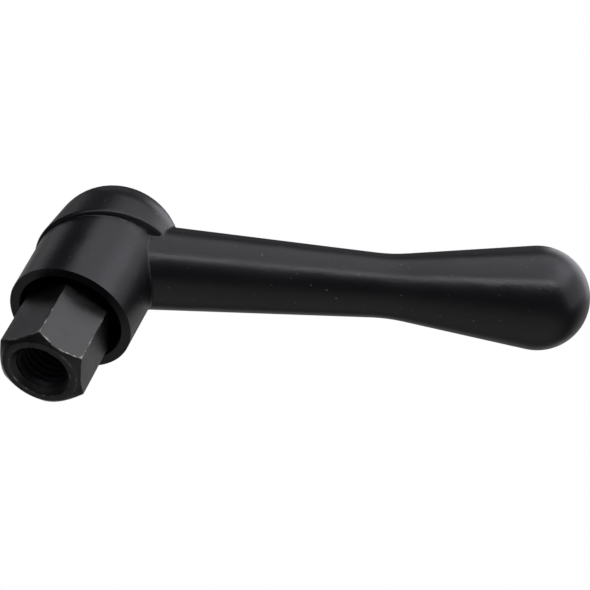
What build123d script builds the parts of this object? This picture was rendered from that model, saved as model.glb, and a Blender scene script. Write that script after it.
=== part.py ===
"""Adjustable clamping lever with a hexagon insert that is tapped M12.

The lever is one die casting: an upright hub, whose head and lower part meet at a parting plane
that leans with the handle, and a round handle that narrows to a waist and swells to a ball end.
Inside the hub sits a toothed steel insert. A shoulder screw is fastened into the insert's top,
and a spring between the screw's head and the hub's web presses the lever down on the insert.
Lifting the lever against the spring frees the teeth, so that it turns to another position.

Frame: origin at the centre of the hexagon's end face, +Z up the hub's axis, handle towards +X.
Sizes are in millimetres and degrees.
"""

import os
from math import cos, pi, radians, sin, tan

from build123d import *

# ---- Insert ----
HEX_ACROSS_FLATS = 19.0
HEX_LENGTH = 17.8
HEX_CORNER_ANGLE = 27.0  # first corner's angle from the handle's direction
HEX_FACE_DIAMETER = 17.4  # round face left inside the end chamfer
HEX_CHAMFER_ANGLE = 37.0  # from the end face
THREAD_CORE_DIAMETER = 10.2  # M12
THREAD_HOLE_DEPTH = 18.0
THREAD_SINK_DIAMETER = 14.4
THREAD_SINK_ANGLE = 90.0  # included
DRILL_POINT_ANGLE = 118.0  # included
NECK_DIAMETER = 18.0
INSERT_LENGTH = 32.5  # hexagon's end face to the top face that the lever rests on
COLLAR_LENGTH = 6.5
TOOTH_COUNT = 24
TOOTH_TIP_DIAMETER = 22.4
TOOTH_ROOT_DIAMETER = 20.2
TOOTH_TIP_SHARE = 0.28  # of the pitch
TOOTH_ROOT_SHARE = 0.84
TOOTH_CLEARANCE = 0.1

# ---- Lever: lower part of the hub ----
HEX_PROJECTION = 18.1  # hexagon's end face to the hub's rim
HUB_RIM_DIAMETER = 29.3
HUB_PARTING_DIAMETER = 29.9
HUB_RIM_ROUND = 1.0
RECESS_DIAMETER = 23.8
RECESS_CHAMFER = 0.5
TOOTH_ENGAGEMENT = 5.0
WEB_THICKNESS = 4.0
SPRING_BORE_DIAMETER = 13.8
SPRING_BORE_CHAMFER = 0.6

# ---- Lever: head of the hub ----
PARTING_HEIGHT = 38.0  # where the parting plane and the handle's axis cross the hub's axis
HANDLE_TILT = 15.0  # of both
HEAD_OFFSET = 1.3  # head's axis from the hub's, towards the handle
HEAD_OVERHANG = 1.45  # beyond the lower part, at the parting plane's height
HEAD_DRAFT = 6.5
HEAD_LOWER_ROUND = 0.8
SHOULDER_ROUND = 13.0
SHOULDER_ROUND_HEIGHT = 44.1  # height of its centre
SHOULDER_ROUND_SWEEP = 54.0  # angle from level at which the flat top cuts it

# ---- Lever: handle ----
HANDLE_LENGTH = 117.0  # along its own axis, from the hub's axis to the end of the ball
HANDLE_ROOT_DIAMETER = 21.2  # of the taper carried on to the hub's axis
HANDLE_TAPER = 2.46
HANDLE_FLARE = 8.1
WAIST_ROUND = 40.0
BALL_RADIUS = 12.6
HANDLE_ROOT_ROUND = 0.8

# ---- Shoulder screw ----
SCREW_SHOULDER_DIAMETER = 8.0
SCREW_SHOULDER_CLEARANCE = 0.05  # radial, in the web
SCREW_THREAD_DIAMETER = 6.0
SCREW_THREAD_CLEARANCE = 0.05
SCREW_THREAD_LENGTH = 7.0
SCREW_HOLE_SPARE = 0.5  # hole's depth beyond the screw's end
SCREW_END_CHAMFER = 0.7
SCREW_HEAD_DIAMETER = 13.0
SCREW_HEAD_HEIGHT = 5.5
SCREW_HEAD_CHAMFER = 0.5
SCREW_HEAD_SINK = 0.8  # head's top below the lever's top
SOCKET_ACROSS_FLATS = 5.0
SOCKET_DEPTH = 2.8

# ---- Spring ----
SPRING_WIRE_DIAMETER = 1.2
SPRING_OUTER_DIAMETER = 12.6
SPRING_TURNS = 4.5
SPRING_END_PITCH = 1.3
SPRING_STEPS = 12  # points of the wire's path in a turn
SPRING_WIRE_SIDES = 8  # flats that stand for the wire's round, to keep the coil light

# ---- Heights and a radius that follow from these ----
collar_bottom = INSERT_LENGTH - COLLAR_LENGTH
serration_bottom = INSERT_LENGTH - TOOTH_ENGAGEMENT
web_top = INSERT_LENGTH + WEB_THICKNESS
head_parting_radius = HUB_PARTING_DIAMETER / 2 + HEAD_OVERHANG
lever_top = SHOULDER_ROUND_HEIGHT + SHOULDER_ROUND * sin(radians(SHOULDER_ROUND_SWEEP))
screw_head_top = lever_top - SCREW_HEAD_SINK
screw_head_bottom = screw_head_top - SCREW_HEAD_HEIGHT
screw_end = INSERT_LENGTH - SCREW_THREAD_LENGTH

# ---- Directions that follow from the handle's tilt ----
tilt = radians(HANDLE_TILT)
parting_centre = Vector(0, 0, PARTING_HEIGHT)
handle_direction = Vector(cos(tilt), 0, sin(tilt))
parting_plane = Plane(parting_centre, x_dir=handle_direction, z_dir=(-sin(tilt), 0, cos(tilt)))
handle_section = Plane(parting_centre, x_dir=handle_direction, z_dir=(0, -1, 0))
handle_axis = Axis(parting_centre, handle_direction)


def tooth_outline(clearance):
    """Corners of the insert's toothed section, grown outwards by a clearance."""
    tip_radius = TOOTH_TIP_DIAMETER / 2 + clearance
    root_radius = TOOTH_ROOT_DIAMETER / 2 + clearance
    pitch = 2 * pi / TOOTH_COUNT
    tip_angle = pitch * TOOTH_TIP_SHARE / 2 + clearance / tip_radius
    root_angle = pitch * TOOTH_ROOT_SHARE / 2 + clearance / root_radius
    corners = []
    for tooth in range(TOOTH_COUNT):
        middle = tooth * pitch
        for radius, angle in (
            (root_radius, middle - root_angle),
            (tip_radius, middle - tip_angle),
            (tip_radius, middle + tip_angle),
            (root_radius, middle + root_angle),
        ):
            corners.append((radius * cos(angle), radius * sin(angle)))
    return corners


def lies_on_handle(edge):
    """True for an edge between the hub and the handle's taper."""
    for share in (0, 0.25, 0.5, 0.75, 1):
        along = (edge @ share - parting_centre).dot(handle_direction)
        across = (edge @ share - handle_direction * along - parting_centre).length
        if abs(across - HANDLE_ROOT_DIAMETER / 2 + along * tan(radians(HANDLE_TAPER))) > 0.001:
            return False
    return edge.bounding_box().max.X < head_parting_radius + HEAD_OFFSET


# ---- Threaded insert ----
with BuildPart() as threaded_insert:
    with BuildSketch(Plane.XY):
        RegularPolygon(HEX_ACROSS_FLATS / 2, 6, major_radius=False, rotation=HEX_CORNER_ANGLE)
    extrude(amount=HEX_LENGTH)
    # The end chamfer leaves what lies inside this cone.
    cone_reach = HEX_LENGTH / tan(radians(HEX_CHAMFER_ANGLE))
    with BuildSketch(Plane.XZ):
        with BuildLine():
            Polyline(
                (0, 0),
                (HEX_FACE_DIAMETER / 2, 0),
                (HEX_FACE_DIAMETER / 2 + cone_reach, HEX_LENGTH),
                (0, HEX_LENGTH),
                close=True,
            )
        make_face()
    revolve(axis=Axis.Z, mode=Mode.INTERSECT)
    with BuildSketch(Plane.XY.offset(HEX_LENGTH)):
        Circle(NECK_DIAMETER / 2)
    extrude(amount=collar_bottom - HEX_LENGTH)
    with BuildSketch(Plane.XY.offset(collar_bottom)):
        with BuildLine():
            Polyline(*tooth_outline(0), close=True)
        make_face()
    extrude(amount=COLLAR_LENGTH)
    # Core hole of the M12 thread, with its countersink and drill point
    core = THREAD_CORE_DIAMETER / 2
    sink = THREAD_SINK_DIAMETER / 2
    sink_depth = (sink - core) / tan(radians(THREAD_SINK_ANGLE / 2))
    drill_point = core / tan(radians(DRILL_POINT_ANGLE / 2))
    with BuildSketch(Plane.XZ):
        with BuildLine():
            Polyline(
                (0, 0),
                (sink, 0),
                (core, sink_depth),
                (core, THREAD_HOLE_DEPTH),
                (0, THREAD_HOLE_DEPTH + drill_point),
                close=True,
            )
        make_face()
    revolve(axis=Axis.Z, mode=Mode.SUBTRACT)
    # Hole for the shoulder screw
    with BuildSketch(Plane.XY.offset(INSERT_LENGTH)):
        Circle(SCREW_THREAD_DIAMETER / 2 + SCREW_THREAD_CLEARANCE)
    extrude(amount=-SCREW_THREAD_LENGTH - SCREW_HOLE_SPARE, mode=Mode.SUBTRACT)

# ---- Lower part of the hub, up to the parting plane ----
with BuildPart() as lower_hub:
    rim = HUB_RIM_DIAMETER / 2
    wall_slope = (HUB_PARTING_DIAMETER / 2 - rim) / (PARTING_HEIGHT - HEX_PROJECTION)
    with BuildSketch(Plane.XZ):
        with BuildLine():
            Polyline(
                (0, HEX_PROJECTION),
                (rim, HEX_PROJECTION),
                (rim + wall_slope * (lever_top - HEX_PROJECTION), lever_top),
                (0, lever_top),
                close=True,
            )
        make_face()
        fillet(vertices().group_by(Axis.Z)[0].sort_by(Axis.X)[-1], HUB_RIM_ROUND)
    revolve(axis=Axis.Z)
    split(bisect_by=parting_plane, keep=Keep.BOTTOM)

# ---- Head of the hub, above the parting plane and wider than the lower part ----
with BuildPart() as hub_head:
    draft = radians(HEAD_DRAFT)
    arc_angle = radians(SHOULDER_ROUND_SWEEP)
    # The shoulder's arc is tangent to the drafted wall.
    arc_radius = (
        head_parting_radius
        - (SHOULDER_ROUND_HEIGHT - PARTING_HEIGHT) * tan(draft)
        - SHOULDER_ROUND / cos(draft)
    )
    wall_top = (
        arc_radius + SHOULDER_ROUND * cos(draft),
        SHOULDER_ROUND_HEIGHT + SHOULDER_ROUND * sin(draft),
    )
    wall_bottom = (wall_top[0] + (wall_top[1] - HEX_PROJECTION) * tan(draft), HEX_PROJECTION)
    arc_end = (arc_radius + SHOULDER_ROUND * cos(arc_angle), lever_top)
    head_axis = Axis((HEAD_OFFSET, 0, 0), (0, 0, 1))
    with BuildSketch(Plane((HEAD_OFFSET, 0, 0), x_dir=(1, 0, 0), z_dir=(0, -1, 0))):
        with BuildLine():
            Line((0, HEX_PROJECTION), wall_bottom)
            Line(wall_bottom, wall_top)
            TangentArc(wall_top, arc_end, tangent=(-sin(draft), cos(draft)))
            Polyline(arc_end, (0, lever_top), (0, HEX_PROJECTION))
        make_face()
    revolve(axis=head_axis)
    split(bisect_by=parting_plane, keep=Keep.TOP)
    underside = faces().filter_by(lambda face: face.normal_at().dot(parting_plane.z_dir) < -0.999)
    fillet(underside.edges(), HEAD_LOWER_ROUND)

# ---- Handle ----
with BuildPart() as handle:
    taper = radians(HANDLE_TAPER)
    flare = radians(HANDLE_FLARE)
    ball_centre = HANDLE_LENGTH - BALL_RADIUS
    # The taper and the flare, which is tangent to the ball, meet at the waist.
    waist_length = (
        HANDLE_ROOT_DIAMETER / 2 - BALL_RADIUS / cos(flare) + ball_centre * tan(flare)
    ) / (tan(taper) + tan(flare))
    waist_radius = HANDLE_ROOT_DIAMETER / 2 - waist_length * tan(taper)
    waist_reach = WAIST_ROUND * tan((taper + flare) / 2)
    taper_end = (waist_length - waist_reach * cos(taper), waist_radius + waist_reach * sin(taper))
    flare_start = (waist_length + waist_reach * cos(flare), waist_radius + waist_reach * sin(flare))
    ball_start = (ball_centre - BALL_RADIUS * sin(flare), BALL_RADIUS * cos(flare))
    with BuildSketch(handle_section):
        with BuildLine():
            Polyline((0, 0), (0, HANDLE_ROOT_DIAMETER / 2), taper_end)
            TangentArc(taper_end, flare_start, tangent=(cos(taper), -sin(taper)))
            Line(flare_start, ball_start)
            TangentArc(ball_start, (HANDLE_LENGTH, 0), tangent=(cos(flare), sin(flare)))
            Line((HANDLE_LENGTH, 0), (0, 0))
        make_face()
    revolve(axis=handle_axis)

# ---- Lever ----
with BuildPart() as lever:
    add(lower_hub.part)
    add(hub_head.part)
    add(handle.part)
    fillet(edges().filter_by(lies_on_handle), HANDLE_ROOT_ROUND)
    # Recess round the hexagon, bore of the web and bore for the spring, all open to each other
    recess = RECESS_DIAMETER / 2
    web_bore = SCREW_SHOULDER_DIAMETER / 2 + SCREW_SHOULDER_CLEARANCE
    spring_bore = SPRING_BORE_DIAMETER / 2
    with BuildSketch(Plane.XZ):
        with BuildLine():
            Polyline(
                (0, HEX_PROJECTION),
                (recess + RECESS_CHAMFER, HEX_PROJECTION),
                (recess, HEX_PROJECTION + RECESS_CHAMFER),
                (recess, serration_bottom),
                (web_bore, serration_bottom),
                (web_bore, web_top),
                (spring_bore, web_top),
                (spring_bore, lever_top - SPRING_BORE_CHAMFER),
                (spring_bore + SPRING_BORE_CHAMFER, lever_top),
                (0, lever_top),
                close=True,
            )
        make_face()
    revolve(axis=Axis.Z, mode=Mode.SUBTRACT)
    # Inner teeth that the insert's collar engages
    with BuildSketch(Plane.XY.offset(serration_bottom)):
        with BuildLine():
            Polyline(*tooth_outline(TOOTH_CLEARANCE), close=True)
        make_face()
    extrude(amount=TOOTH_ENGAGEMENT, mode=Mode.SUBTRACT)

# ---- Shoulder screw ----
with BuildPart() as retaining_screw:
    thread = SCREW_THREAD_DIAMETER / 2
    shoulder = SCREW_SHOULDER_DIAMETER / 2
    head = SCREW_HEAD_DIAMETER / 2
    with BuildSketch(Plane.XZ):
        with BuildLine():
            Polyline(
                (0, screw_end),
                (thread - SCREW_END_CHAMFER, screw_end),
                (thread, screw_end + SCREW_END_CHAMFER),
                (thread, INSERT_LENGTH),
                (shoulder, INSERT_LENGTH),
                (shoulder, screw_head_bottom),
                (head, screw_head_bottom),
                (head, screw_head_top - SCREW_HEAD_CHAMFER),
                (head - SCREW_HEAD_CHAMFER, screw_head_top),
                (0, screw_head_top),
                close=True,
            )
        make_face()
    revolve(axis=Axis.Z)
    with BuildSketch(Plane.XY.offset(screw_head_top)):
        RegularPolygon(SOCKET_ACROSS_FLATS / 2, 6, major_radius=False)
    extrude(amount=-SOCKET_DEPTH, mode=Mode.SUBTRACT)

# ---- Spring with closed and ground ends ----
with BuildPart() as compression_spring:
    wire = SPRING_WIRE_DIAMETER / 2
    coil = SPRING_OUTER_DIAMETER / 2 - wire
    spring_length = screw_head_bottom - web_top
    # The wire's middle rises by the end pitch over each end turn, and evenly in between.
    first_height = web_top + wire / 4
    end_rise = SPRING_END_PITCH
    open_turns = SPRING_TURNS - 2
    open_pitch = (spring_length - wire / 2 - 2 * end_rise) / open_turns
    points = []
    steps = round(SPRING_TURNS * SPRING_STEPS)
    for step in range(steps + 1):
        turn = SPRING_TURNS * step / steps
        height = first_height + end_rise * min(turn, 1)
        height += open_pitch * min(max(turn - 1, 0), open_turns)
        height += end_rise * max(turn - 1 - open_turns, 0)
        angle = 2 * pi * turn
        points.append((coil * cos(angle), coil * sin(angle), height))
    with BuildLine():
        spring_path = Spline(*points)
    with BuildSketch(Plane(spring_path @ 0, z_dir=spring_path % 0)):
        RegularPolygon(wire, SPRING_WIRE_SIDES)
    sweep(path=spring_path, is_frenet=True)
    split(bisect_by=Plane.XY.offset(web_top), keep=Keep.TOP)
    split(bisect_by=Plane.XY.offset(screw_head_bottom), keep=Keep.BOTTOM)

os.makedirs("parts", exist_ok=True)
lever.part.label = "lever"
export_step(lever.part, "parts/lever.step")
threaded_insert.part.label = "threaded_insert"
export_step(threaded_insert.part, "parts/threaded_insert.step")
retaining_screw.part.label = "retaining_screw"
export_step(retaining_screw.part, "parts/retaining_screw.step")
compression_spring.part.label = "compression_spring"
export_step(compression_spring.part, "parts/compression_spring.step")
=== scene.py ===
"""Dresses the adjustable clamping lever: a satin black powder coat on the cast lever, a blackened
steel hexagon with real thread turns and worn edges, its shoulder screw and its spring."""

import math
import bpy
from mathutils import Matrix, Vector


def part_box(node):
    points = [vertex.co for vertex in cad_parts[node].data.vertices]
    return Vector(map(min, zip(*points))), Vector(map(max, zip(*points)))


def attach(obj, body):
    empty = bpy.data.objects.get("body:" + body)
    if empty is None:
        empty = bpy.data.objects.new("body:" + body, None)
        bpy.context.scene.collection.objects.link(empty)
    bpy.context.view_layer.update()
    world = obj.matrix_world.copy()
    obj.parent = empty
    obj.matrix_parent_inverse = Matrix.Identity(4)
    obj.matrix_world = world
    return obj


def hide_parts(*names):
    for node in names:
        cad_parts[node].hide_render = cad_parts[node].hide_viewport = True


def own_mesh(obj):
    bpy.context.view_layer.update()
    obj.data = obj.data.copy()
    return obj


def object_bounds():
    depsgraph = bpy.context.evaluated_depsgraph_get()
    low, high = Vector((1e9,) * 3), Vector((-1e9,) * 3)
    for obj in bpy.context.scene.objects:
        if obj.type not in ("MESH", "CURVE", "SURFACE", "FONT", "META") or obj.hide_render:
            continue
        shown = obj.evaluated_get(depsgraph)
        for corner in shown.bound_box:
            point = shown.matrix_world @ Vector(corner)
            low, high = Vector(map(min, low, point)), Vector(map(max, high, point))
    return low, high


bl_info = {
    "name": "Clamping Lever",
    "version": (1, 0, 0),
    "blender": (4, 5, 0),
    "location": "3D View > Sidebar > Lever",
    "description": "Builds the finished surfaces of an adjustable clamping lever",
    "category": "Add Mesh",
}

import bmesh
import bpy
import numpy as np
from bpy.props import FloatProperty, FloatVectorProperty, PointerProperty
from mathutils import Matrix

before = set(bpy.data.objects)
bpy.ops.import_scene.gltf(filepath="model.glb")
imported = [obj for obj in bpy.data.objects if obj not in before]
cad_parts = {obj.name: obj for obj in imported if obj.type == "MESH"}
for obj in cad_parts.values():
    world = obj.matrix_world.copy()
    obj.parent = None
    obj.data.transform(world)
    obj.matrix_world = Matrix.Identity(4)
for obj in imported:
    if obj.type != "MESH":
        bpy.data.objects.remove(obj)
CAD_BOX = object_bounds()
SPRING_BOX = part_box("compression_spring")


# ---------------------------------------------------------------- sizes and colours


class CoatSettings(bpy.types.PropertyGroup):
    """The powder coat on the casting"""

    colour: FloatVectorProperty(
        name="Colour", description="Powder coat", subtype="COLOR", size=3, min=0, max=1,
        default=(0.0030, 0.0029, 0.0042),
    )
    roughness: FloatProperty(
        name="Roughness", description="Of the coat", min=0, max=1, default=0.33
    )
    peel: FloatProperty(
        name="Orange peel", description="Width of one swell in the coat", subtype="DISTANCE",
        unit="LENGTH", default=0.0011,
    )
    dust: FloatVectorProperty(
        name="Dust", description="Colour of the dust specks", subtype="COLOR", size=3, min=0, max=1,
        default=(0.10, 0.10, 0.095),
    )


class SteelSettings(bpy.types.PropertyGroup):
    """The blackened steel of the insert and the screw"""

    oxide: FloatVectorProperty(
        name="Oxide", description="Blackened steel", subtype="COLOR", size=3, min=0, max=1,
        default=(0.069, 0.068, 0.067),
    )
    bare: FloatVectorProperty(
        name="Bare", description="Steel where the oxide has worn off", subtype="COLOR", size=3,
        min=0, max=1, default=(0.36, 0.35, 0.32),
    )
    roughness: FloatProperty(
        name="Roughness", description="Of the oxide", min=0, max=1, default=0.36
    )
    wear: FloatProperty(
        name="Wear", description="Width of the worn band along an edge", subtype="DISTANCE",
        unit="LENGTH", default=0.00035,
    )


class InsertSettings(bpy.types.PropertyGroup):
    """The hexagon and its tapped hole"""

    across_flats: FloatProperty(
        name="Across flats", description="Hexagon", subtype="DISTANCE", unit="LENGTH", default=0.019
    )
    length: FloatProperty(
        name="Hexagon length", description="End face to the neck", subtype="DISTANCE", unit="LENGTH",
        default=0.0178,
    )
    corner_angle: FloatProperty(
        name="Corner angle", description="First corner from the handle's direction",
        subtype="ANGLE", default=math.radians(27),
    )
    face_diameter: FloatProperty(
        name="End face", description="Round face inside the chamfer", subtype="DISTANCE",
        unit="LENGTH", default=0.0174,
    )
    chamfer_angle: FloatProperty(
        name="Chamfer", description="From the end face", subtype="ANGLE", default=math.radians(37)
    )
    edge: FloatProperty(
        name="Edge", description="Size of the broken edges", subtype="DISTANCE", unit="LENGTH",
        default=0.00012,
    )
    neck_diameter: FloatProperty(
        name="Neck", description="Diameter above the hexagon", subtype="DISTANCE", unit="LENGTH",
        default=0.018,
    )
    thread_diameter: FloatProperty(
        name="Thread", description="Outer diameter of the thread", subtype="DISTANCE",
        unit="LENGTH", default=0.012,
    )
    core_diameter: FloatProperty(
        name="Core", description="Core diameter of the thread", subtype="DISTANCE", unit="LENGTH",
        default=0.0102,
    )
    pitch: FloatProperty(
        name="Pitch", description="Rise of one thread turn", subtype="DISTANCE", unit="LENGTH",
        default=0.00175,
    )
    sink_diameter: FloatProperty(
        name="Countersink", description="At the end face, 90 degrees", subtype="DISTANCE",
        unit="LENGTH", default=0.0144,
    )
    hole_depth: FloatProperty(
        name="Hole", description="Depth of the core hole without its point", subtype="DISTANCE",
        unit="LENGTH", default=0.018,
    )


class SpringSettings(bpy.types.PropertyGroup):
    """The compression spring"""

    wire: FloatProperty(
        name="Wire", description="Diameter", subtype="DISTANCE", unit="LENGTH", default=0.0012
    )
    turns: FloatProperty(name="Turns", description="End turns included", default=4.5)
    end_rise: FloatProperty(
        name="End turn", description="Rise of each closed end turn", subtype="DISTANCE",
        unit="LENGTH", default=0.0013,
    )


class StageSettings(bpy.types.PropertyGroup):
    """The floor and the camera"""

    floor_drop: FloatProperty(
        name="Floor", description="Distance of the floor below the part", subtype="DISTANCE",
        unit="LENGTH", default=0.32,
    )
    lens: FloatProperty(name="Lens", description="Focal length in millimetres", default=97.63)


GROUPS = (
    ("lever_coat", CoatSettings),
    ("lever_steel", SteelSettings),
    ("lever_insert", InsertSettings),
    ("lever_spring", SpringSettings),
    ("lever_stage", StageSettings),
)


# ---------------------------------------------------------------- meshes

# Points closer together than this are one, on a grid and in a CAD node
GRID_GAP = 1e-7
NODE_GAP = 1e-6
# Facets of a CAD node that meet at more than this angle keep a sharp edge
SHARP_ANGLE = math.radians(30)


def shade_smooth(mesh):
    """Shades every face of the mesh smooth."""
    mesh.polygons.foreach_set("use_smooth", np.ones(len(mesh.polygons), dtype=bool))


def grid_mesh(name, points, flip=False, values=None):
    """Mesh of a grid of points, rows by columns by three, whose last column joins its first. Rows
    that meet in one point are closed there. With flip, the faces point the other way. The values,
    one for each point, are kept as the attribute worn."""
    rows, columns = points.shape[:2]
    index = np.arange(rows * columns).reshape(rows, columns)
    beside = np.roll(index, -1, axis=1)
    quads = np.stack([index[:-1], beside[:-1], beside[1:], index[1:]], axis=-1).reshape(-1, 4)
    if flip:
        quads = quads[:, ::-1]
    mesh = bpy.data.meshes.new(name)
    mesh.from_pydata(points.reshape(-1, 3).tolist(), [], quads.tolist())
    if values is not None:
        worn = mesh.attributes.new("worn", "FLOAT", "POINT")
        worn.data.foreach_set("value", np.ascontiguousarray(values, dtype=np.float32).ravel())
    work = bmesh.new()
    work.from_mesh(mesh)
    bmesh.ops.remove_doubles(work, verts=work.verts, dist=GRID_GAP)
    work.to_mesh(mesh)
    work.free()
    shade_smooth(mesh)
    mesh.update()
    return mesh


def place(name, mesh, body, node, material):
    """Object at the origin that rides on a body and stands for a CAD node."""
    piece = bpy.data.objects.new(name, mesh)
    bpy.context.scene.collection.objects.link(piece)
    mesh.materials.clear()
    mesh.materials.append(material)
    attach(piece, body)
    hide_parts(node)
    return piece


def node_copy(node, name, keep=None):
    """Copy of a CAD node's mesh with its loose triangles joined and its curved faces shaded
    smooth. keep takes the faces' centres and says which faces stay."""
    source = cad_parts[node].data
    work = bmesh.new()
    work.from_mesh(source)
    bmesh.ops.remove_doubles(work, verts=work.verts, dist=NODE_GAP)
    if keep is not None:
        work.faces.ensure_lookup_table()
        centres = np.array([face.calc_center_median() for face in work.faces])
        drop = [work.faces[i] for i in np.flatnonzero(~keep(centres))]
        bmesh.ops.delete(work, geom=drop, context="FACES")
    mesh = bpy.data.meshes.new(name)
    work.to_mesh(mesh)
    work.free()
    shade_smooth(mesh)
    mesh.set_sharp_from_angle(angle=SHARP_ANGLE)
    return mesh


# ---------------------------------------------------------------- materials

# Stretch of a noise's values that its shades are spread over, and the tip of it that makes specks
NOISE_SPAN = (0.3, 0.7)
SPECK_SPAN = (0.83, 0.87)
# Widths of the coat's specks and of its duller patches, and depths of its peel and its grain
SPECK_WIDTH = 0.0006
PATCH_WIDTH = 0.02
PEEL_DEPTH = 0.00002
GRAIN_DEPTH = 0.000002
GRAINS_PER_SWELL = 6
# Width and tones of the oxide's clouds, width of the grain in its wear, and size of its tool marks
OXIDE_CLOUD_WIDTH = 0.004
OXIDE_TONES = (0.88, 1.12)
WEAR_GRAIN_WIDTH = 0.0025
TOOL_MARK_WIDTH = 0.0003
TOOL_MARK_DEPTH = 0.000004


def new_material(name):
    """Empty node material, its shader and the socket of its Object coordinates."""
    material = bpy.data.materials.new(name)
    material.use_nodes = True
    nodes = material.node_tree.nodes
    nodes.clear()
    output = nodes.new("ShaderNodeOutputMaterial")
    shader = nodes.new("ShaderNodeBsdfPrincipled")
    coordinates = nodes.new("ShaderNodeTexCoord")
    material.node_tree.links.new(shader.outputs[0], output.inputs[0])
    return material, shader, coordinates.outputs["Object"]


def noise(material, position, width, detail=2.0, roughness=0.5):
    """Noise whose swells are about width metres wide."""
    node = material.node_tree.nodes.new("ShaderNodeTexNoise")
    node.inputs["Scale"].default_value = 1 / width
    node.inputs["Detail"].default_value = detail
    node.inputs["Roughness"].default_value = roughness
    material.node_tree.links.new(position, node.inputs["Vector"])
    return node.outputs["Fac"]


def remap(material, value, span, to_span):
    """Carries a value from one span to another along a smooth step, and holds it at the ends."""
    node = material.node_tree.nodes.new("ShaderNodeMapRange")
    node.interpolation_type = "SMOOTHSTEP"
    sockets = ("From Min", "From Max", "To Min", "To Max")
    for socket, number in zip(sockets, (*span, *to_span)):
        node.inputs[socket].default_value = number
    material.node_tree.links.new(value, node.inputs["Value"])
    return node.outputs["Result"]


def maths(tree, operation, first, second):
    """Socket of the sum, the product or the larger of two sockets."""
    node = tree.nodes.new("ShaderNodeMath")
    node.operation = operation
    tree.links.new(first, node.inputs[0])
    tree.links.new(second, node.inputs[1])
    return node.outputs[0]


def blend_colours(material, factor, first, second):
    """Blend of two colours, each a socket or three channels, from the first to the second."""
    node = material.node_tree.nodes.new("ShaderNodeMix")
    node.data_type = "RGBA"
    material.node_tree.links.new(factor, node.inputs[0])
    for socket, colour in ((node.inputs[6], first), (node.inputs[7], second)):
        if isinstance(colour, bpy.types.NodeSocket):
            material.node_tree.links.new(colour, socket)
        else:
            socket.default_value = (*colour, 1)
    return node.outputs[2]


def bump(material, shader, height, depth, below=None):
    """Relief of a depth in metres on the shader, over the relief below it if there is one."""
    node = material.node_tree.nodes.new("ShaderNodeBump")
    node.inputs["Distance"].default_value = depth
    node.inputs["Strength"].default_value = 1
    material.node_tree.links.new(height, node.inputs["Height"])
    if below is not None:
        material.node_tree.links.new(below, node.inputs["Normal"])
    material.node_tree.links.new(node.outputs[0], shader.inputs["Normal"])
    return node.outputs[0]


def powder_coat(settings):
    """Satin black coat: broad orange peel, fine grain and a few pale dust specks."""
    material, shader, position = new_material("satin_black_coat")
    link = material.node_tree.links.new
    specks = noise(material, position, SPECK_WIDTH, 0)
    patches = noise(material, position, PATCH_WIDTH, 1)
    dust = remap(material, specks, SPECK_SPAN, (0, 1))
    link(blend_colours(material, dust, settings.colour, settings.dust), shader.inputs["Base Color"])
    rough = (settings.roughness - 0.03, settings.roughness + 0.04)
    link(remap(material, patches, NOISE_SPAN, rough), shader.inputs["Roughness"])
    shader.inputs["Specular IOR Level"].default_value = 0.5
    peel = noise(material, position, settings.peel, 1)
    broad = bump(material, shader, peel, PEEL_DEPTH)
    grain = noise(material, position, settings.peel / GRAINS_PER_SWELL, 2)
    bump(material, shader, grain, GRAIN_DEPTH, below=broad)
    return material


def blackened_steel(settings, name, worn=False):
    """Black oxide with tool marks. With worn, the attribute worn uncovers bare steel."""
    material, shader, position = new_material(name)
    link = material.node_tree.links.new
    clouds = noise(material, position, OXIDE_CLOUD_WIDTH, 4, 0.6)
    darker, lighter = ([tone * channel for channel in settings.oxide] for tone in OXIDE_TONES)
    colour = blend_colours(material, remap(material, clouds, NOISE_SPAN, (0, 1)), darker, lighter)
    roughness = (settings.roughness - 0.05, settings.roughness + 0.06)
    rough = remap(material, clouds, NOISE_SPAN, roughness)
    if worn:
        attribute = material.node_tree.nodes.new("ShaderNodeAttribute")
        attribute.attribute_name = "worn"
        grain = noise(material, position, WEAR_GRAIN_WIDTH, 4, 0.65)
        patchy = remap(material, grain, NOISE_SPAN, (-0.4, 0.3))
        total = maths(material.node_tree, "ADD", attribute.outputs["Fac"], patchy)
        uncovered = remap(material, total, (0.35, 0.95), (0, 1))
        colour = blend_colours(material, uncovered, colour, settings.bare)
    link(colour, shader.inputs["Base Color"])
    link(rough, shader.inputs["Roughness"])
    shader.inputs["Metallic"].default_value = 1.0
    bump(material, shader, noise(material, position, TOOL_MARK_WIDTH, 3), TOOL_MARK_DEPTH)
    return material


def clouded(name, width, colours, roughness):
    """Material and shader whose colour and roughness drift between two values, in clouds of a
    width in metres."""
    material, shader, position = new_material(name)
    link = material.node_tree.links.new
    clouds = noise(material, position, width, 3)
    link(blend_colours(material, clouds, *colours), shader.inputs["Base Color"])
    link(remap(material, clouds, NOISE_SPAN, roughness), shader.inputs["Roughness"])
    return material, shader


def painted_shade_thread():
    """Thread turns whose colour is darkened almost to black as painted shade for the depth of the
    hole, with faint cloudiness.
    """
    # Painted shade: these near-black colours stand in for the shade inside the tapped hole
    colours = ((0.004, 0.004, 0.005), (0.010, 0.010, 0.012))
    material, shader = clouded("painted_shade_thread", 0.0015, colours, (0.4, 0.55))
    shader.inputs["Specular IOR Level"].default_value = 0.12
    return material


def spring_steel():
    """Drawn wire: bright, with faint cloudiness."""
    colours = ((0.34, 0.34, 0.35), (0.5, 0.5, 0.5))
    material, shader = clouded("spring_steel", 0.001, colours, (0.28, 0.4))
    shader.inputs["Metallic"].default_value = 1.0
    return material


# ---------------------------------------------------------------- surfaces

# Points across one flat of the hexagon, and rows up it
FLAT_COLUMNS = 48
FLAT_ROWS = 24
# At the hexagon's corners: the share of the broken edge's size that is rounded off, how much wider
# the wear is where the chamfer ends and over what height, and the share of it gone at the neck
CORNER_ROUNDING = 0.7
KNOCK_WIDENING = 3
KNOCK_HEIGHT = 0.0012
WEAR_FADE = 0.55
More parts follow.
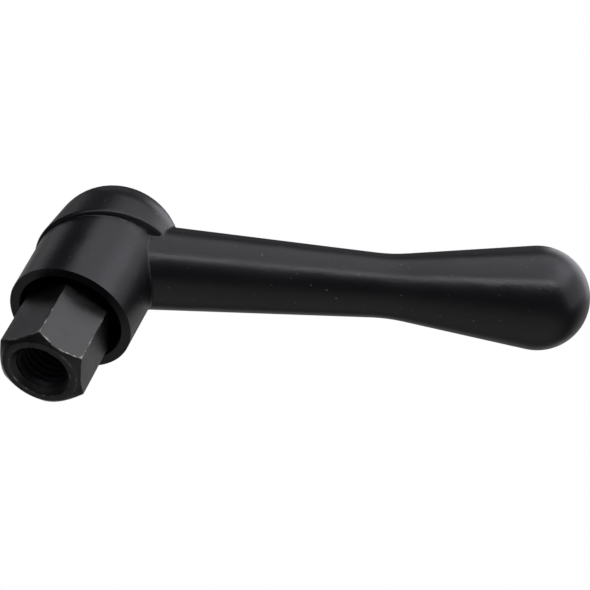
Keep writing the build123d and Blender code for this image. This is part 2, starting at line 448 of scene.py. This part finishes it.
# Points round the thread, rows for each of its turns, and rows up the drill's point
THREAD_COLUMNS = 96
ROWS_PER_TURN = 22
POINT_ROWS = 12
# Angles against the axis of the drill's point and of the thread's flanks
POINT_ANGLE = math.radians(59)
FLANK_ANGLE = math.radians(60)
# Rows along the spring, and points round its wire
SPRING_ROWS = 240
WIRE_COLUMNS = 16


def ring_points(radius, height, angle):
    """Points at radius and height over the angles, each an array of the grid's shape."""
    return np.stack([radius * np.cos(angle), radius * np.sin(angle), height + 0 * angle], axis=-1)


def hexagon_surface(size, wear):
    """Points and wear of the hexagon, from its countersink up to its neck.

    Round the axis, the flat's radius is half the width across flats over the cosine of the angle
    from the flat's middle, less a rounding that dies away exponentially with the distance from the
    corner. Along each profile the end face runs out to its edge, the chamfer cone runs up to the
    flat's radius, the flat runs up to the hexagon's length, and the top face runs back to the
    neck. Each edge is broken by rows on either side of it.

    The wear is given for each edge. Along the corners it falls evenly to nothing over its width,
    which a bell curve of the height widens where the chamfer ends, and it fades up to the neck."""
    half = size.across_flats / 2
    ease = np.linspace(-1, 1, FLAT_COLUMNS, endpoint=False)
    within = np.radians(30) * np.sin(ease * np.pi / 2)
    angle = (within[None, :] + np.radians(60) * np.arange(6)[:, None]).ravel()
    from_middle = np.tile(within, 6)
    edge = size.edge
    corner_gap = half * np.tan(np.radians(30)) - half * np.abs(np.tan(from_middle))
    rounding = edge * CORNER_ROUNDING * np.exp(-corner_gap / edge)
    flat_radius = half / np.cos(from_middle) - rounding
    face = size.face_diameter / 2
    sink = size.sink_diameter / 2
    neck = size.neck_diameter / 2
    mouth = size.thread_diameter / 2
    chamfer_height = (flat_radius - face) * math.tan(size.chamfer_angle)
    flat = np.ones_like(angle)
    rows = []

    def row(radius, height, worn):
        """Adds a row with its radius, its height and its wear, each a number or one a column."""
        rows.append((radius * flat, height * flat, worn * flat))

    row(mouth, sink - mouth, 0)
    row((mouth + sink) / 2, (sink - mouth) / 2, 0)
    row(sink - edge, edge, 0.2)
    row(sink, edge * 0.3, 0.6)
    row(sink + edge, 0, 0.35)
    row((sink + face) / 2, 0, 0)
    row(face - edge, 0, 0.25)
    row(face, edge * 0.25, 0.5)
    for share in (0.12, 0.35, 0.65, 0.88):
        row(face + (flat_radius - face) * share, chamfer_height * share, 0)
    row(flat_radius - edge, chamfer_height - edge * 0.6, 0.5)
    row(flat_radius - edge * 0.25, chamfer_height, 0.9)
    row(flat_radius, chamfer_height + edge, 0.55)
    row(flat_radius, chamfer_height + 3 * edge, 0.25)
    for share in np.linspace(0.05, 0.97, FLAT_ROWS):
        row(flat_radius, chamfer_height + (size.length - chamfer_height) * share, 0)
    row(flat_radius, size.length - edge, 0.2)
    row(flat_radius - edge * 0.3, size.length - edge * 0.3, 0.4)
    row(flat_radius - edge, size.length, 0)
    row(neck, size.length, 0)
    radius, height, worn = np.stack(rows, axis=1)
    knocked = np.exp(-((height - chamfer_height.max()) / KNOCK_HEIGHT) ** 2)
    along_corner = np.clip(1 - corner_gap / (wear * (1 + KNOCK_WIDENING * knocked)), 0, 1)
    fade = (1 - WEAR_FADE * np.clip(height / size.length, 0, 1)) * (height >= chamfer_height)
    worn = np.maximum(worn, along_corner * fade)
    turned = np.broadcast_to(angle + size.corner_angle + np.radians(30), radius.shape)
    return ring_points(radius, height, turned), worn


def point_depth(size):
    """Depth of the drill's point past the core hole."""
    return size.core_diameter / 2 / math.tan(POINT_ANGLE)


def thread_surface(size):
    """Points of the tapped hole, from its lead-in to its drill point.

    The radius is the thread's outer radius less a trapezium wave of the height minus the pitch
    times the turn, with flanks at 60 degrees to the axis, no smaller than the core's radius. The
    lead-in cone cuts it at the mouth. It fades into the core before the hole's end, and the point
    is a cone down to the axis."""
    core = size.core_diameter / 2
    major = size.thread_diameter / 2
    sink = size.sink_diameter / 2
    half_root = size.pitch / 16
    lead_in_slope = 0.55
    plain_end = 0.001
    fade_length = 2 * size.pitch
    height = np.concatenate([
        np.arange(sink - major, size.hole_depth, size.pitch / ROWS_PER_TURN),
        np.linspace(size.hole_depth, size.hole_depth + point_depth(size), POINT_ROWS),
    ])[:, None]
    angle = np.linspace(0, 2 * np.pi, THREAD_COLUMNS, endpoint=False)[None, :]
    phase = (height / size.pitch - angle / (2 * np.pi)) % 1
    from_root = np.abs(phase - 0.5) * size.pitch
    depth = np.clip((from_root - half_root) * math.tan(FLANK_ANGLE), 0, major - core)
    end_fade = np.clip((size.hole_depth - plain_end - height) / fade_length, 0, 1)
    threaded = core + (major - core - depth) * end_fade
    mouth = major - lead_in_slope * (height - sink + major)
    point = core * (1 - (height - size.hole_depth) / point_depth(size))
    radius = np.where(height > size.hole_depth, point, np.maximum(threaded, mouth))
    return ring_points(radius, height, np.broadcast_to(angle, radius.shape))


def spring_surface(size, bottom, top, outer_radius):
    """Points of the spring's wire.

    The wire's middle circles the axis and rises by the end rise over each end turn and evenly in
    between. The wire's circle is carried along it, and is cut flat at the top and the bottom. A
    row in the middle of each end closes it."""
    wire = size.wire / 2
    coil = outer_radius - wire
    to_end = wire / 4
    turn = np.linspace(0, size.turns, SPRING_ROWS)[:, None]
    open_turns = size.turns - 2
    open_rise = top - bottom - 2 * to_end - 2 * size.end_rise
    height = bottom + to_end + size.end_rise * np.minimum(turn, 1)
    height = height + open_rise * np.clip((turn - 1) / open_turns, 0, 1)
    height = height + size.end_rise * np.maximum(turn - 1 - open_turns, 0)
    angle = 2 * np.pi * turn
    around = np.linspace(0, 2 * np.pi, WIRE_COLUMNS, endpoint=False)[None, :]
    radius = coil + wire * np.cos(around) + 0 * turn
    level = np.clip(height + wire * np.sin(around), bottom, top)
    points = ring_points(radius, level, np.broadcast_to(angle, radius.shape))
    first = np.repeat(points[:1].mean(axis=1, keepdims=True), WIRE_COLUMNS, axis=1)
    last = np.repeat(points[-1:].mean(axis=1, keepdims=True), WIRE_COLUMNS, axis=1)
    return np.concatenate([first, points, last])


# ---------------------------------------------------------------- operators


class LEVER_OT_casting(bpy.types.Operator):
    """Coats the cast lever"""

    bl_idname = "lever.casting"
    bl_label = "Lever casting"

    def execute(self, context):
        coat = powder_coat(context.scene.lever_coat)
        mesh = node_copy("lever", "lever_casting")
        piece = place("lever_casting", mesh, "lever", "lever", coat)
        weights = piece.modifiers.new("even_normals", "WEIGHTED_NORMAL")
        weights.keep_sharp = True
        return {"FINISHED"}


class LEVER_OT_insert(bpy.types.Operator):
    """Makes the hexagon, its tapped hole and the toothed collar"""

    bl_idname = "lever.insert"
    bl_label = "Threaded insert"

    def execute(self, context):
        size = context.scene.lever_insert
        steel = context.scene.lever_steel
        worn = blackened_steel(steel, "blackened_steel_worn", worn=True)
        plain = blackened_steel(steel, "blackened_steel")
        points, values = hexagon_surface(size, steel.wear)
        mesh = grid_mesh("hexagon", points, values=values)
        place("hexagon", mesh, "insert", "threaded_insert", worn)
        # The tapped hole's material has painted shade in its colour
        thread_shade = painted_shade_thread()
        mesh = grid_mesh("tapped_hole", thread_surface(size), flip=True)
        place("tapped_hole", mesh, "insert", "threaded_insert", thread_shade)
        wall_slack = 0.0001
        level_slack = 0.00001
        tip_slack = 0.001
        past_hole = size.hole_depth + point_depth(size) + tip_slack

        def neck_and_collar(centres):
            """True for faces above the hexagon that aren't in the tapped hole."""
            outside = np.hypot(centres[:, 0], centres[:, 1]) > size.core_diameter / 2 + wall_slack
            in_hole = ~outside & (centres[:, 2] <= past_hole)
            return (centres[:, 2] > size.length + level_slack) & ~in_hole

        mesh = node_copy("threaded_insert", "toothed_collar", keep=neck_and_collar)
        place("toothed_collar", mesh, "insert", "threaded_insert", plain)
        return {"FINISHED"}


class LEVER_OT_screw(bpy.types.Operator):
    """Finishes the shoulder screw"""

    bl_idname = "lever.screw"
    bl_label = "Shoulder screw"

    def execute(self, context):
        plain = blackened_steel(context.scene.lever_steel, "blackened_screw")
        mesh = node_copy("retaining_screw", "shoulder_screw")
        place("shoulder_screw", mesh, "insert", "retaining_screw", plain)
        return {"FINISHED"}


class LEVER_OT_spring(bpy.types.Operator):
    """Winds the spring"""

    bl_idname = "lever.spring"
    bl_label = "Spring"

    def execute(self, context):
        bottom, top = SPRING_BOX[0][2], SPRING_BOX[1][2]
        outer = (SPRING_BOX[1][1] - SPRING_BOX[0][1]) / 2
        points = spring_surface(context.scene.lever_spring, bottom, top, outer)
        mesh = grid_mesh("wound_spring", points)
        piece = place("wound_spring", mesh, "spring", "compression_spring", spring_steel())
        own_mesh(piece)
        return {"FINISHED"}


class LEVER_OT_stage(bpy.types.Operator):
    """Sets the floor, the backdrop, the lamps and the camera"""

    bl_idname = "lever.stage"
    bl_label = "Stage"

    def execute(self, context):
        build_floor(context.scene.lever_stage)
        build_world(context.scene)
        build_lamps(context.scene)
        build_camera(context.scene)
        return {"FINISHED"}


# ---------------------------------------------------------------- stage

# The camera's place in metres, its turn in degrees, its sensor in millimetres, and the nearest and
# furthest that it shows
CAMERA_PLACE = (0.096935, -0.258579, -0.225137)
CAMERA_TURN = (137.993, -15.766, -5.645)
SENSOR_WIDTH = 36.0
CLIP_START = 0.01
CLIP_END = 50
# Directions in the view: to the viewer, up and to the right
TO_VIEWER = np.array((0.1351, -0.6858, -0.7151))
VIEW_UP = np.array((-0.2540, -0.7216, 0.6440))
VIEW_RIGHT = np.array((0.9577, -0.0947, 0.2717))
# Each softbox: name, degrees from the viewer upwards, share sideways, distance, width, height
# and radiance
SOFTBOXES = (
    ("strip_box", 34, 0.0, 0.6, 0.9, 0.05, 9.8),
    ("front_box", 76, 0.5, 0.6, 0.8, 0.72, 1.35),
    ("right_box", 60, 2.4, 0.6, 0.7, 0.6, 0.8),
    ("left_box", 130, -0.77, 0.68, 0.28, 0.28, 0.45),
    ("back_box", -150, 0.0, 0.9, 1.0, 0.5, 0.25),
    ("top_box", 135, 0.0, 0.8, 0.5, 0.3, 0.15),
    ("rim_right_box", 150, 0.78, 0.8, 0.6, 0.55, 1.4),
)
LAMP_COLOUR = (0.93, 0.925, 1.0)
ROOM_STRENGTH = 0.06
# Where glossy rays see the white backdrop: degrees, share sideways, the cosine at which it starts,
# and its strength
BACKDROPS = ((190, -0.8, 0.78, 0.6), (180, 0.9, 0.7, 0.4), (-75, 0.0, 0.55, 0.3))
# The floor's reach from the origin, and the width and the two tones of its clouds
FLOOR_REACH = 6.0
FLOOR_CLOUD_WIDTH = 0.4
FLOOR_TONES = ((0.84, 0.84, 0.84), (0.88, 0.88, 0.88))
FLOOR_ROUGHNESS = 0.9
# The floor fades into the backdrop's white between these distances from the origin, and this is
# the white's share at each
WHITE_DISTANCES = (0.4, 2.5)
WHITE_SHARES = (0.72, 1)


def around_handle(degrees, sideways=0.0):
    """Direction at an angle from the viewer upwards, leaned sideways by a share."""
    turn = math.radians(degrees)
    direction = TO_VIEWER * math.cos(turn) + VIEW_UP * math.sin(turn) + VIEW_RIGHT * sideways
    return direction / np.linalg.norm(direction)


def softbox(scene, name, degrees, sideways, distance, width, height, radiance):
    """Area lamp that faces the middle of the part, its width along the handle. Its power is its
    radiance times pi times its area."""
    centre = (np.array(CAD_BOX[0]) + np.array(CAD_BOX[1])) / 2
    back = around_handle(degrees, sideways)
    across = VIEW_RIGHT - back * VIEW_RIGHT.dot(back)
    across /= np.linalg.norm(across)
    upright = np.cross(back, across)
    data = bpy.data.lights.new(name, "AREA")
    data.shape = "RECTANGLE"
    data.size = width
    data.size_y = height
    data.color = LAMP_COLOUR
    data.energy = radiance * math.pi * width * height
    lamp = bpy.data.objects.new(name, data)
    scene.collection.objects.link(lamp)
    turn = Matrix(np.column_stack([across, upright, back]).tolist())
    lamp.matrix_world = Matrix.Translation(centre + back * distance) @ turn.to_4x4()
    lamp.visible_camera = False


def build_lamps(scene):
    """Hangs the softboxes round the part."""
    for box in SOFTBOXES:
        softbox(scene, *box)


def ray_seen(tree, kinds):
    """Socket that is 1 for rays of any of the kinds."""
    path = tree.nodes.new("ShaderNodeLightPath")
    socket = path.outputs[kinds[0]]
    for kind in kinds[1:]:
        socket = maths(tree, "MAXIMUM", socket, path.outputs[kind])
    return socket


def white_light(tree, kind, strength):
    """Socket of a background or an emission in white."""
    node = tree.nodes.new(kind)
    node.inputs["Color"].default_value = (1, 1, 1, 1)
    node.inputs["Strength"].default_value = strength
    return node.outputs[0]


def mix_shaders(tree, factor, first, second, output):
    """Mix of two shaders, from the first to the second, on the output."""
    mix = tree.nodes.new("ShaderNodeMixShader")
    tree.links.new(factor, mix.inputs[0])
    tree.links.new(first, mix.inputs[1])
    tree.links.new(second, mix.inputs[2])
    tree.links.new(mix.outputs[0], output.inputs[0])


def build_world(scene):
    """White backdrop in a dim room. The camera and clear things see it all round, and glossy rays
    see it where it stands, behind the part to its left and to its right, and faintly below."""
    world = bpy.data.worlds.new("studio")
    scene.world = world
    world.use_nodes = True
    tree = world.node_tree
    tree.nodes.clear()
    output = tree.nodes.new("ShaderNodeOutputWorld")
    dim = white_light(tree, "ShaderNodeBackground", ROOM_STRENGTH)
    white = white_light(tree, "ShaderNodeBackground", 1)
    direction = tree.nodes.new("ShaderNodeTexCoord")
    seen = ray_seen(tree, ("Is Camera Ray", "Is Transmission Ray"))
    glossy = ray_seen(tree, ("Is Glossy Ray",))
    for degrees, sideways, start, strength in BACKDROPS:
        dot = tree.nodes.new("ShaderNodeVectorMath")
        dot.operation = "DOT_PRODUCT"
        dot.inputs[1].default_value = tuple(around_handle(degrees, sideways))
        tree.links.new(direction.outputs["Generated"], dot.inputs[0])
        level = remap(world, dot.outputs["Value"], (start, 1), (0, strength))
        reflected = maths(tree, "MULTIPLY", glossy, level)
        seen = maths(tree, "MAXIMUM", seen, reflected)
    mix_shaders(tree, seen, dim, white, output)


def build_floor(settings):
    """Pale floor far below the part. To the camera it turns evenly into the white backdrop with
    the distance, and it keeps the part's shadow. Gloss doesn't show it, so the coat stays dark."""
    low = CAD_BOX[0][2] - settings.floor_drop
    mesh = bpy.data.meshes.new("floor")
    signs = ((-1, -1), (1, -1), (1, 1), (-1, 1))
    corners = [(FLOOR_REACH * x, FLOOR_REACH * y, low) for x, y in signs]
    mesh.from_pydata(corners, [], [(0, 1, 2, 3)])
    floor = bpy.data.objects.new("floor", mesh)
    bpy.context.scene.collection.objects.link(floor)
    material, shader, position = new_material("floor_paper")
    tree = material.node_tree
    tone = noise(material, position, FLOOR_CLOUD_WIDTH, 2)
    tree.links.new(blend_colours(material, tone, *FLOOR_TONES), shader.inputs["Base Color"])
    shader.inputs["Roughness"].default_value = FLOOR_ROUGHNESS
    far = tree.nodes.new("ShaderNodeVectorMath")
    far.operation = "LENGTH"
    tree.links.new(position, far.inputs[0])
    white_share = remap(material, far.outputs["Value"], WHITE_DISTANCES, WHITE_SHARES)
    seen = ray_seen(tree, ("Is Camera Ray", "Is Transmission Ray"))
    share = maths(tree, "MULTIPLY", seen, white_share)
    white = white_light(tree, "ShaderNodeEmission", 1)
    output = next(node for node in tree.nodes if node.type == "OUTPUT_MATERIAL")
    mix_shaders(tree, share, shader.outputs[0], white, output)
    mesh.materials.append(material)
    floor.visible_glossy = False


def build_camera(scene):
    """Camera below the part, looking up at it."""
    data = bpy.data.cameras.new("camera")
    data.lens = scene.lever_stage.lens
    data.sensor_width = SENSOR_WIDTH
    camera = bpy.data.objects.new("camera", data)
    scene.collection.objects.link(camera)
    camera.location = CAMERA_PLACE
    camera.rotation_euler = [math.radians(turn) for turn in CAMERA_TURN]
    data.clip_start = CLIP_START
    data.clip_end = CLIP_END
    scene.camera = camera


# ---------------------------------------------------------------- add-on


class LEVER_PT_panel(bpy.types.Panel):
    """Lists the operators, and the sizes and colours that they use"""

    bl_label = "Clamping Lever"
    bl_idname = "LEVER_PT_panel"
    bl_space_type = "VIEW_3D"
    bl_region_type = "UI"
    bl_category = "Lever"

    def draw(self, context):
        for operator in OPERATORS:
            self.layout.operator(operator.bl_idname)
        for name, group in GROUPS:
            box = self.layout.box()
            for key in group.__annotations__:
                box.prop(getattr(context.scene, name), key)


OPERATORS = (LEVER_OT_casting, LEVER_OT_insert, LEVER_OT_screw, LEVER_OT_spring, LEVER_OT_stage)
CLASSES = (*(group for _, group in GROUPS), *OPERATORS, LEVER_PT_panel)


def register():
    """Adds the classes, and a group of settings for each piece to the scene."""
    for item in CLASSES:
        bpy.utils.register_class(item)
    for name, group in GROUPS:
        setattr(bpy.types.Scene, name, PointerProperty(type=group))


def unregister():
    """Takes the settings and the classes away again."""
    for name, _ in GROUPS:
        delattr(bpy.types.Scene, name)
    for item in reversed(CLASSES):
        bpy.utils.unregister_class(item)


def main():
    """Makes every piece and the stage."""
    register()
    scene = bpy.context.scene
    scene.view_settings.view_transform = "Standard"
    bpy.ops.lever.casting()
    bpy.ops.lever.insert()
    bpy.ops.lever.screw()
    bpy.ops.lever.spring()
    bpy.ops.lever.stage()


if __name__ == "__main__":
    main()
